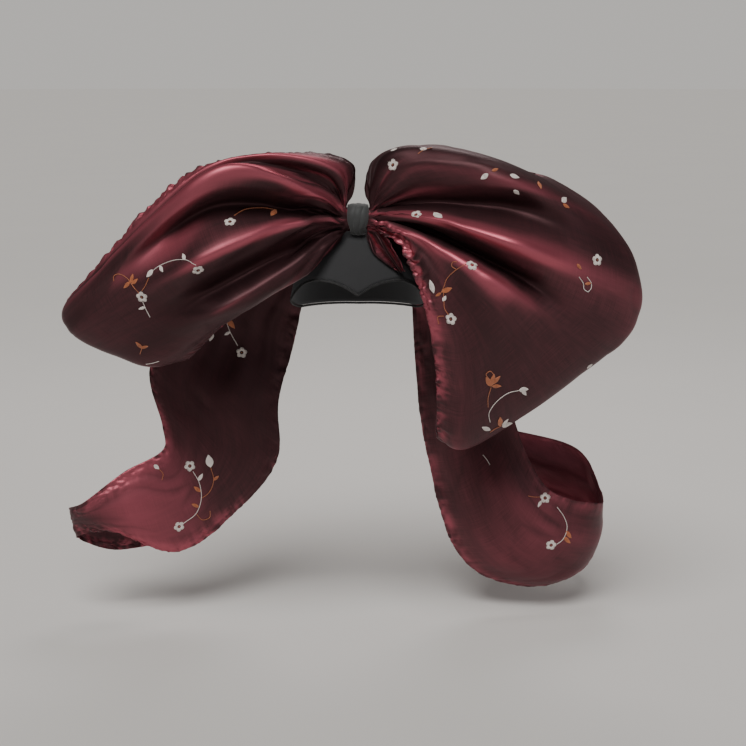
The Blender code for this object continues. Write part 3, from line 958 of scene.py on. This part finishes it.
def weave_group():
    """Plain weave on a map in metres: ribs of the weft, slubs along it, and a cloudy drift."""
    made, start, end = group_of(
        "Plain weave",
        [
            ("Vector", "NodeSocketVector", None),
            ("Rib per metre", "NodeSocketFloat", 1500.0),
            ("Slub", "NodeSocketFloat", 0.5),
        ],
        [
            ("Height", "NodeSocketFloat"),
            ("Slubs", "NodeSocketFloat"),
            ("Cloud", "NodeSocketFloat"),
        ],
    )
    vector, rib, slub = start.outputs[0], start.outputs[1], start.outputs[2]
    split = node(made, "ShaderNodeSeparateXYZ")
    made.links.new(vector, split.inputs[0])
    turns = maths(made, "MULTIPLY", rib, 2 * math.pi)
    weft, warp = (
        maths(made, "SINE", maths(made, "MULTIPLY", split.outputs[axis], turns)) for axis in (0, 1)
    )
    woven = maths(made, "MULTIPLY", weft, warp)
    ribbed = maths(made, "ADD", maths(made, "MULTIPLY", woven, 0.5), weft)
    slubs = noise_of(made, stretched(made, vector, (2600, 34, 1)), 1.0, 1.0)
    cross = noise_of(made, stretched(made, vector, (60, 2200, 1)), 1.0, 1.0)
    streaks = maths(made, "ADD", slubs, maths(made, "MULTIPLY", cross, 0.6))
    streaks = maths(made, "SUBTRACT", streaks, 0.8)
    raised = maths(made, "MULTIPLY", streaks, maths(made, "MULTIPLY", slub, 3.0))
    made.links.new(maths(made, "ADD", maths(made, "MULTIPLY", ribbed, 0.25), raised), end.inputs[0])
    bands = noise_of(made, stretched(made, vector, (16, 230, 1)), 1.0)
    bands = maths(made, "SUBTRACT", bands, 0.5)
    toned = maths(made, "ADD", streaks, maths(made, "MULTIPLY", bands, 0.45))
    made.links.new(maths(made, "ADD", toned, 0.5, clamp=True), end.inputs[1])
    made.links.new(noise_of(made, vector, 9.0, 3.0), end.inputs[2])
    return made


def nap_group():
    """Pressed wool: short fibres in every direction over soft lumps."""
    made, start, end = group_of(
        "Wool nap",
        [("Vector", "NodeSocketVector", None), ("Scale", "NodeSocketFloat", 900.0)],
        [("Height", "NodeSocketFloat"), ("Fibre", "NodeSocketFloat"), ("Wear", "NodeSocketFloat")],
    )
    vector = start.outputs[0]
    fine = node(made, "ShaderNodeTexNoise", Detail=4.0, Distortion=1.4)
    made.links.new(vector, fine.inputs["Vector"])
    made.links.new(start.outputs[1], fine.inputs["Scale"])
    fibre = fine.outputs["Fac"]
    lumps = noise_of(made, vector, 120.0)
    made.links.new(maths(made, "ADD", fibre, maths(made, "MULTIPLY", lumps, 0.5)), end.inputs[0])
    made.links.new(fibre, end.inputs[1])
    made.links.new(noise_of(made, vector, 22.0, 3.0), end.inputs[2])
    return made


def yarn_group():
    """Lustre of a thin yarn: fine bright and dark runs along and across it."""
    made, start, end = group_of(
        "Yarn lustre",
        [("Vector", "NodeSocketVector", None), ("Scale", "NodeSocketFloat", 700.0)],
        [("Height", "NodeSocketFloat"), ("Tone", "NodeSocketFloat")],
    )
    fine = node(made, "ShaderNodeTexNoise", Detail=2.0)
    made.links.new(start.outputs[0], fine.inputs["Vector"])
    made.links.new(start.outputs[1], fine.inputs["Scale"])
    made.links.new(fine.outputs["Fac"], end.inputs[0])
    made.links.new(noise_of(made, start.outputs[0], 160.0), end.inputs[1])
    return made


GROUPS = {}


def group(tree, name):
    """A placed copy of a node group, which is built the first time."""
    makers = {"weave": weave_group, "nap": nap_group, "yarn": yarn_group}
    if name not in GROUPS:
        GROUPS[name] = makers[name]()
    return node(tree, "ShaderNodeGroup", node_tree=GROUPS[name])


# Materials

MATERIALS = {}


def shader_of(name):
    """A new material, its node tree and its main shader."""
    made = bpy.data.materials.new(name)
    made.use_nodes = True
    return made, made.node_tree, made.node_tree.nodes["Principled BSDF"]


def bumped(tree, shader, height, strength, distance):
    """Lets a height mask tilt the shader's normal."""
    bump = node(tree, "ShaderNodeBump", Strength=strength, Distance=distance)
    tree.links.new(height, bump.inputs["Height"])
    tree.links.new(bump.outputs[0], shader.inputs["Normal"])


def shift_of(tree, socket, low, high, start=0.0, end=1.0, curve="LINEAR"):
    """A value from start to end, turned into one from low to high."""
    made = node(tree, "ShaderNodeMapRange", To_Min=low, To_Max=high, interpolation_type=curve)
    settle(made, From_Min=start, From_Max=end)
    tree.links.new(socket, made.inputs["Value"])
    return made.outputs[0]


def taffeta():
    """Shot silk, dark warp and red weft, with painted light: raised cloth is coloured red, a
    painted highlight, and hollows darker, painted shade.
    """
    made, tree, shader = shader_of("burgundy_taffeta")
    uv = node(tree, "ShaderNodeUVMap", uv_map="Ribbon").outputs[0]
    weave = group(tree, "weave")
    tree.links.new(uv, weave.inputs[0])
    crest = node(tree, "ShaderNodeAttribute", attribute_name="crest").outputs["Fac"]
    # Painted highlight: raised cloth is mixed towards the red weft and made more metallic.
    raised = shift_of(tree, crest, 0.05, 1.0, -0.04, 0.60, "SMOOTHSTEP")
    # Painted shade: hollows are darkened towards a quarter of the warp's colour.
    hollow = shift_of(tree, crest, 0.3, 1.0, -0.5, 0.05, "SMOOTHSTEP")
    cloud = shift_of(tree, weave.outputs["Cloud"], -0.12, 0.12)
    share = maths(tree, "ADD", raised, cloud)
    streak = shift_of(tree, weave.outputs["Slubs"], -0.14, 0.14)
    share = maths(tree, "ADD", share, streak, clamp=True)
    colour = mixed(tree, share, tuple(colours().warp), tuple(colours().weft))
    colour = mixed(tree, hollow, scaled(colours().warp, 0.25), colour)
    tree.links.new(colour, shader.inputs["Base Color"])
    rough = shift_of(tree, weave.outputs["Cloud"], 0.37, 0.51)
    tree.links.new(rough, shader.inputs["Roughness"])
    tree.links.new(shift_of(tree, share, 0.05, 0.8), shader.inputs["Metallic"])
    settle(shader, Sheen_Weight=0.06, Sheen_Roughness=0.35)
    settle(shader, Sheen_Tint=(1.0, 0.55, 0.6, 1.0), Specular_Tint=(1.0, 0.5, 0.55, 1.0))
    bumped(tree, shader, weave.outputs["Height"], 0.18, 0.12 * MM)
    return made


def felt():
    """Pressed black wool, a little worn."""
    made, tree, shader = shader_of("black_felt")
    where = node(tree, "ShaderNodeTexCoord").outputs["Object"]
    nap = group(tree, "nap")
    tree.links.new(where, nap.inputs[0])
    base = tuple(colours().felt)
    toned = mixed(tree, nap.outputs["Fibre"], base, scaled(base, 2.1))
    tree.links.new(toned, shader.inputs["Base Color"])
    rough = shift_of(tree, nap.outputs["Wear"], 0.78, 0.95)
    tree.links.new(rough, shader.inputs["Roughness"])
    settle(shader, Sheen_Weight=0.24, Sheen_Roughness=0.6, Sheen_Tint=(0.75, 0.8, 0.85, 1.0))
    bumped(tree, shader, nap.outputs["Height"], 0.55, 0.35 * MM)
    return made


def yarn_look(name, base, bright, rough, sheen, scale):
    """A thread, cord or woven band with a low lustre."""
    made, tree, shader = shader_of(name)
    where = node(tree, "ShaderNodeTexCoord").outputs["Object"]
    yarn = group(tree, "yarn")
    yarn.inputs[1].default_value = scale
    tree.links.new(where, yarn.inputs[0])
    tone = shift_of(tree, yarn.outputs["Tone"], 0.1, 0.9)
    tree.links.new(mixed(tree, tone, base, bright), shader.inputs["Base Color"])
    dull = shift_of(tree, yarn.outputs["Tone"], rough - 0.1, rough + 0.1)
    tree.links.new(dull, shader.inputs["Roughness"])
    settle(shader, Sheen_Weight=sheen, Sheen_Roughness=0.5)
    bumped(tree, shader, yarn.outputs["Height"], 0.4, 0.1 * MM)
    return made


def scaled(colour, factor):
    """The colour lighter or darker by a factor."""
    return tuple(min(1.0, factor * c) for c in colour)


def look(name):
    """The material of that name, made the first time."""
    if name not in MATERIALS:
        c = colours()
        yarns = {
            "black_cord": ((0.006, 0.006, 0.007), (0.016, 0.016, 0.018), 0.62, 0.15, 700.0),
            "black_ribbon": (scaled(c.ribbon, 0.7), scaled(c.ribbon, 1.5), 0.66, 0.4, 700.0),
            "cream_thread": (scaled(c.cream, 0.75), scaled(c.cream, 1.15), 0.45, 0.3, 1500.0),
            "copper_thread": (scaled(c.copper, 0.6), scaled(c.copper, 1.5), 0.42, 0.25, 1500.0),
        }
        if name in yarns:
            MATERIALS[name] = yarn_look(name, *yarns[name])
        else:
            MATERIALS[name] = {"burgundy_taffeta": taffeta, "black_felt": felt}[name]()
    return MATERIALS[name]


# Pieces

class HEADDRESS_OT_bonnet(bpy.types.Operator):
    """The felt bonnet, open below, with its heart-shaped front edge."""

    bl_idname = "headdress.bonnet"
    bl_label = "Bonnet"

    def execute(self, context):
        bm = bmesh.new()
        bmesh.ops.create_uvsphere(bm, u_segments=144, v_segments=72, radius=1.0)
        lower = [v for v in bm.verts if v.co.z < -1e-4]
        bmesh.ops.delete(bm, geom=lower, context="VERTS")
        for v in bm.verts:
            bearing = math.atan2(v.co.x, -v.co.y)
            share = math.acos(min(1.0, v.co.z)) / (math.pi / 2)
            v.co = on_dome(bearing, share * rim_polar(bearing))
        piece = mesh_piece("bonnet", bm)
        thicken(piece, CAP_WALL, 1.0)
        show(piece, "black_felt", ["cap"])
        return {"FINISHED"}


class HEADDRESS_OT_piping(bpy.types.Operator):
    """The twisted cord that binds the bonnet's edge."""

    bl_idname = "headdress.piping"
    bl_label = "Edge piping"

    def execute(self, context):
        twist = PIPING_RADIUS - PIPING_STRAND
        drop = (PIPING_RADIUS + 0.1 * MM) / CAP_HALF_WIDTH
        strands = []
        for start in (0.0, math.pi):
            line = []
            for k in range(PIPING_STEPS):
                round_rim = 2 * math.pi * k / PIPING_STEPS
                bearing = math.remainder(round_rim, 2 * math.pi)
                turn = PIPING_TURNS * round_rim + start
                proud = CAP_WALL / 2 + twist * math.cos(turn)
                polar = rim_polar(bearing) + drop + twist * math.sin(turn) / CAP_HALF_WIDTH
                line.append(on_dome(bearing, polar, proud))
            strands.append((line, 1.0))
        piece = thread_piece("bonnet_piping", strands, PIPING_STRAND, closed=True)
        show(piece, "black_cord", ["edge_piping"])
        return {"FINISHED"}


class HEADDRESS_OT_knot(bpy.types.Operator):
    """The black ribbon wrapped round the middle of the bow."""

    bl_idname = "headdress.knot"
    bl_label = "Knot band"

    def execute(self, context):
        bm = bmesh.new()
        bmesh.ops.create_cone(
            bm, segments=120, radius1=1.0, radius2=1.0, depth=BAND_WIDTH, cap_ends=False
        )
        long_edges = [
            e for e in bm.edges if abs(e.verts[0].co.z - e.verts[1].co.z) > BAND_WIDTH / 2
        ]
        bmesh.ops.subdivide_edges(bm, edges=long_edges, cuts=35, use_grid_fill=True)
        for v in bm.verts:
            across = v.co.z / (BAND_WIDTH / 2)
            turn = math.atan2(v.co.y, v.co.x)
            slip = 0.3 * math.sin(2 * turn + 0.6) + 0.1 * math.sin(5 * turn + 1.0)
            fold = abs(math.sin(math.pi * (BAND_RIBS * (across + 1) / 2 + slip)))
            swell = 0.5 + 0.5 * math.cos(turn - KNUCKLE_TURN)
            crown = (BAND_CROWN + KNUCKLE_RISE * swell**4) * (1 - across**2)
            crown += 1.0 * MM * (fold - 0.7) * (1 - across**4)
            y = (BAND_HALF_DEPTH - BAND_WALL + crown) * v.co.x
            z = (BAND_HALF_HEIGHT - BAND_WALL + crown) * v.co.y
            z *= BAND_SQUASH if v.co.y > 0 else 1
            lower = ease(-v.co.y / 0.8)
            v.co = (v.co.z * (1 - 0.3 * lower), KNOT[1] + y, KNOT[2] + z)
        piece = mesh_piece("knot_wrap", bm)
        thicken(piece, BAND_WALL, 1.0)
        show(piece, "black_ribbon", ["knot_band"])
        return {"FINISHED"}


class HEADDRESS_OT_loops(bpy.types.Operator):
    """The two wide loops of the bow."""

    bl_idname = "headdress.loops"
    bl_label = "Loops"

    def execute(self, context):
        for cad_name, folds, lower_deg, cut, side, seed in (
            ("loop_right", RIGHT_FOLDS, RIGHT_LOWER_DEG, RIGHT_LOOP_CUT, 1, 100),
            ("loop_left", LEFT_FOLDS, LOOP_SPREAD_DEG, LEFT_LOOP_CUT, -1, 200),
        ):
            lines = loop_lines(folds, lower_deg, RIBBON_WIDTH)
            glow = loop_painted_shading(folds, RIBBON_WIDTH, lines.shape[1])
            piece = ribbon_piece(cad_name, lines, cut, seed, side, glow)
        return {"FINISHED"}


class HEADDRESS_OT_tails(bpy.types.Operator):
    """The two hanging ends of the ribbon."""

    bl_idname = "headdress.tails"
    bl_label = "Tails"

    def execute(self, context):
        for cad_name, sections, cut, side, seed in (
            ("tail_right", RIGHT_TAIL, RIGHT_TAIL_CUT, 1, 300),
            ("tail_left", LEFT_TAIL, LEFT_TAIL_CUT, -1, 400),
        ):
            lines = tail_lines(sections, TAIL_WIDTH)
            glow = tail_painted_shading(sections, lines.shape[1])
            piece = ribbon_piece(cad_name, lines, cut, seed, side, glow)
        return {"FINISHED"}


class HEADDRESS_OT_ruffle(bpy.types.Operator):
    """The pleated ruffle that the ribbon's lower corner makes under the knot."""

    bl_idname = "headdress.ruffle"
    bl_label = "Ruffle"

    def execute(self, context):
        lines = ruffle_lines()
        along, across = running(lines, 1), running(lines, 0)
        edge = np.minimum(across, across[-1:] - across)
        puckered = pucker_height(along, edge, 60)
        height = 0.4 * sizes().pucker * puckered + 0.3 * rumple_height(along, across, 61)
        lines = lines + normals_of(lines) * (height * ease(along / (12 * MM)))[..., None]
        # Painted light: the ruffle's ridges and puckers are coloured redder as a painted highlight,
        # its hollows darker as painted shade.
        crest = 0.16 + 1.3 * crest_of(lines, 2) + 1.6 * crest_of(lines, 5) + 0.3 * puckered
        piece = cloth_piece("ribbon_ruffle", clear_of_cap(lines, 0.0), crest, 1)
        show(piece, "burgundy_taffeta")
        return {"FINISHED"}


class Needle:
    """Lays threads on one cloth."""

    def __init__(self, cloth_name):
        self.cloth_name = cloth_name
        piece = bpy.data.objects[cloth_name]
        self.surface = BVHTree.FromObject(piece, bpy.context.evaluated_depsgraph_get())
        self.radius = sizes().thread
        self.threads = {}
        # Which way the cloth's right side faces, along or against the grid's normal
        self.side = 1 if cloth_name.endswith("right") else -1

    def from_photo(self, x, y):
        """Where the photograph's pixel meets the cloth."""
        towards, up = view_axes(math.radians(VIEW_ELEVATION_DEG))
        scale = SENSOR / LENS / PHOTO_SIZE
        ray = towards + Vector((1, 0, 0)) * (x - PHOTO_SIZE / 2) * scale
        ray -= up * (y - PHOTO_SIZE / 2) * scale
        return self.surface.ray_cast(view_point(), ray.normalized())[:2]

    def from_ribbon(self, place, x, y):
        """A point so many millimetres along and across the ribbon from a place on it."""
        cloth = CLOTHS[self.cloth_name]
        turn = math.radians(place.turn_deg)
        u = place.along * cloth.along[-1] + (x * math.cos(turn) - y * math.sin(turn)) * MM
        v = place.across * cloth.across[-1] + (x * math.sin(turn) + y * math.cos(turn)) * MM
        column = np.interp(u, cloth.along, np.arange(len(cloth.along)))
        row = np.interp(v, cloth.across, np.arange(len(cloth.across)))
        i = min(int(column), cloth.points.shape[1] - 2)
        j = min(int(row), cloth.points.shape[0] - 2)
        corner, right, above = (
            Vector(cloth.points[b, a]) for b, a in ((j, i), (j, i + 1), (j + 1, i))
        )
        point = corner + (right - corner) * (column - i) + (above - corner) * (row - j)
        normal = (right - corner).cross(above - corner).normalized()
        return self.surface.find_nearest(point + normal * self.side * sizes().cloth)[:2]

    def lift(self, point, normal, by=1.0):
        """Seats a point of a thread on the cloth."""
        hit, out = self.surface.find_nearest(point)[:2]
        if out.dot(normal) < 0:
            out = -out
        return hit + out * self.radius * by

    def lay(self, thread, points, share=1.0):
        """Keeps one thread for the piece of its colour."""
        self.threads.setdefault(thread, []).append((points, share))

    def stem(self, thread, places):
        """Two strands twisted together along the path."""
        points = [place[0] for place in places]
        normals = [place[1] for place in places]
        length = sum((b - a).length for a, b in zip(points, points[1:]))
        steps = max(6, round(length / STEM_STEP))
        line = evenly(points, steps)
        row = np.linspace(0, len(points) - 1, steps + 1)
        strands = [[], []]
        for k, point in enumerate(line):
            normal = normals[min(round(row[k]), len(normals) - 1)]
            ahead = Vector(line[min(k + 1, steps)]) - Vector(line[max(k - 1, 0)])
            aside = ahead.cross(normal).normalized() * self.radius * STEM_SHARE * 0.8
            turn = 2 * math.pi * k / STEPS_PER_TWIST
            for strand, sign in zip(strands, (1, -1)):
                over = STEM_SHARE * (1 + 0.8 * (1 + sign * math.sin(turn)))
                place = Vector(point) + sign * math.cos(turn) * aside
                strand.append(self.lift(place, normal, over))
        for strand in strands:
            self.lay(thread, strand, STEM_SHARE)

    def flower(self, thread, centre, towards):
        """Round petals in satin stitch, and a small ring of copper thread in their middle."""
        middle, normal = centre
        ahead = (towards[0] - middle).normalized()
        aside = normal.cross(ahead).normalized()
        size = FLOWER_RADIUS
        for petal in range(PETALS):
            for k in range(PETAL_STITCHES):
                share = 2 * k / (PETAL_STITCHES - 1) - 1
                turn = 2 * math.pi * (petal + 0.41 * share) / PETALS + 0.3
                out = ahead * math.cos(turn) + aside * math.sin(turn)
                reach = size * (1 - 0.2 * share**2)
                line = [middle + out * d for d in (0.34 * size, 0.6 * size, 0.85 * reach, reach)]
                rises = (1.0, 2.4 - 0.6 * abs(share), 2.2 - 0.6 * abs(share), 0.8)
                self.lay(thread, [self.lift(p, normal, rise) for p, rise in zip(line, rises)])
        dot = []
        for m in range(DOT_STEPS + 1):
            a = 2 * math.pi * m / DOT_STEPS
            place = middle + (ahead * math.cos(a) + aside * math.sin(a)) * self.radius * 0.8
            dot.append(self.lift(place, normal, 1.8))
        self.lay("copper", dot)

    def leaf(self, thread, base, tip, breadth):
        """A pointed oval of threads laid side by side."""
        start, end, normal = base[0], tip[0], base[1]
        strands = max(5, round((end - start).length * breadth / (self.radius * 0.8)))
        aside = (end - start).cross(normal).normalized() * (end - start).length * breadth
        for k in range(strands):
            share = 2 * k / (strands - 1) - 1
            line = []
            for m in range(LEAF_STEPS + 1):
                t = m / LEAF_STEPS
                bulge = math.sin(math.pi * t**0.85) * share
                place = start.lerp(end, t) + aside * bulge
                line.append(self.lift(place, normal, 1.7 - 0.7 * abs(share)))
            self.lay(thread, line)

    def work(self, kind, thread, places):
        """Works one stitch, unless part of it would fall beside this layer of the cloth."""
        points = [place[0] for place in places]
        if None in points:
            return
        if any((b - a).length > LONGEST_STEP for a, b in zip(points, points[1:])):
            return
        if kind == "stem":
            self.stem(thread, places)
        elif kind == "flower":
            self.flower(thread, *places)
        else:
            self.leaf(thread, *places, BUD_BREADTH if kind == "bud" else LEAF_BREADTH)

    def finish(self):
        """Makes one piece of each colour of thread."""
        for thread, lines in self.threads.items():
            name = f"{self.cloth_name}_{thread}_stitches"
            show(thread_piece(name, lines, self.radius), f"{thread}_thread")


class HEADDRESS_OT_embroidery(bpy.types.Operator):
    """Sprays of small flowers, worked on the ribbon in cream and copper thread."""

    bl_idname = "headdress.embroidery"
    bl_label = "Embroidery"

    def execute(self, context):
        for cloth_name, stitches in PHOTO_SPRAYS.items():
            needle = Needle(cloth_name)
            for kind, thread, *path in stitches:
                needle.work(kind, thread, [needle.from_photo(*point) for point in path])
            for place in SPRAY_PLACES:
                if place.cloth != cloth_name:
                    continue
                for kind, thread, *path in SPRAY:
                    points = [needle.from_ribbon(place, *point) for point in path]
                    needle.work(kind, thread, points)
            needle.finish()
        return {"FINISHED"}


class HEADDRESS_OT_stage(bpy.types.Operator):
    """The studio: a pale round floor, soft lights and the photograph's camera."""

    bl_idname = "headdress.stage"
    bl_label = "Stage"

    def execute(self, context):
        self.lay_floor()
        self.hang_lights()
        self.set_camera()
        return {"FINISHED"}

    def lay_floor(self):
        bm = bmesh.new()
        bmesh.ops.create_circle(bm, cap_ends=True, segments=96, radius=FLOOR_RADIUS)
        bmesh.ops.translate(bm, verts=bm.verts, vec=(0, 0, CAD_BOX[0][2] - FLOOR_DROP))
        floor = mesh_piece("studio_floor", bm)
        made, tree, shader = shader_of("studio_floor")
        where = node(tree, "ShaderNodeTexCoord").outputs["Object"]
        drift = noise_of(tree, where, 3.0)
        base = tuple(colours().floor)
        tree.links.new(mixed(tree, drift, base, scaled(base, 1.04)), shader.inputs["Base Color"])
        settle(shader, Roughness=0.9)
        floor.data.materials.append(made)
        bpy.context.scene.collection.objects.link(floor)

    def hang_lights(self):
        for lamp in LAMPS:
            data = bpy.data.lights.new(lamp.name, lamp.kind)
            data.energy = lamp.power
            data.color = lamp.colour
            if lamp.kind == "SUN":
                data.angle = lamp.size
            else:
                data.shape = "DISK"
                data.size = lamp.size
            made = bpy.data.objects.new(lamp.name, data)
            made.location = lamp.place
            aim = Vector(lamp.aim) - Vector(lamp.place)
            made.rotation_euler = aim.to_track_quat("-Z", "Y").to_euler()
            bpy.context.scene.collection.objects.link(made)
        world = bpy.data.worlds.new("studio")
        world.use_nodes = True
        tree = world.node_tree
        backdrop = tree.nodes["Background"]
        backdrop.inputs["Color"].default_value = WORLD_COLOUR
        seen = node(tree, "ShaderNodeLightPath").outputs["Is Camera Ray"]
        strength = shift_of(tree, seen, WORLD_LIGHT, WORLD_SEEN)
        tree.links.new(strength, backdrop.inputs["Strength"])
        bpy.context.scene.world = world

    def set_camera(self):
        data = bpy.data.cameras.new("photo_view")
        data.lens = LENS
        data.sensor_width = SENSOR
        camera = bpy.data.objects.new("photo_view", data)
        camera.location = view_point()
        camera.rotation_euler = (math.pi / 2 - math.radians(VIEW_ELEVATION_DEG), 0, 0)
        bpy.context.scene.collection.objects.link(camera)
        bpy.context.scene.camera = camera


OPERATORS = (
    HEADDRESS_OT_bonnet,
    HEADDRESS_OT_piping,
    HEADDRESS_OT_knot,
    HEADDRESS_OT_loops,
    HEADDRESS_OT_tails,
    HEADDRESS_OT_ruffle,
    HEADDRESS_OT_embroidery,
    HEADDRESS_OT_stage,
)


class HEADDRESS_PT_sidebar(bpy.types.Panel):
    """Lists the steps in the order in which they are run."""

    bl_idname = "HEADDRESS_PT_sidebar"
    bl_label = "Folk bow headdress"
    bl_space_type = "VIEW_3D"
    bl_region_type = "UI"
    bl_category = "Headdress"

    def draw(self, context):
        for operator in OPERATORS:
            self.layout.operator(operator.bl_idname)
        for group_name in ("headdress_sizes", "headdress_colours"):
            values = getattr(context.scene, group_name)
            for name in values.__annotations__:
                self.layout.prop(values, name)


CLASSES = (HeaddressSizes, HeaddressColours, *OPERATORS, HEADDRESS_PT_sidebar)


def register():
    for made in CLASSES:
        bpy.utils.register_class(made)
    bpy.types.Scene.headdress_sizes = bpy.props.PointerProperty(type=HeaddressSizes)
    bpy.types.Scene.headdress_colours = bpy.props.PointerProperty(type=HeaddressColours)


def unregister():
    del bpy.types.Scene.headdress_colours
    del bpy.types.Scene.headdress_sizes
    for made in reversed(CLASSES):
        bpy.utils.unregister_class(made)


def main():
    register()
    for operator in OPERATORS:
        family, name = operator.bl_idname.split(".")
        getattr(getattr(bpy.ops, family), name)()


if __name__ == "__main__":
    main()
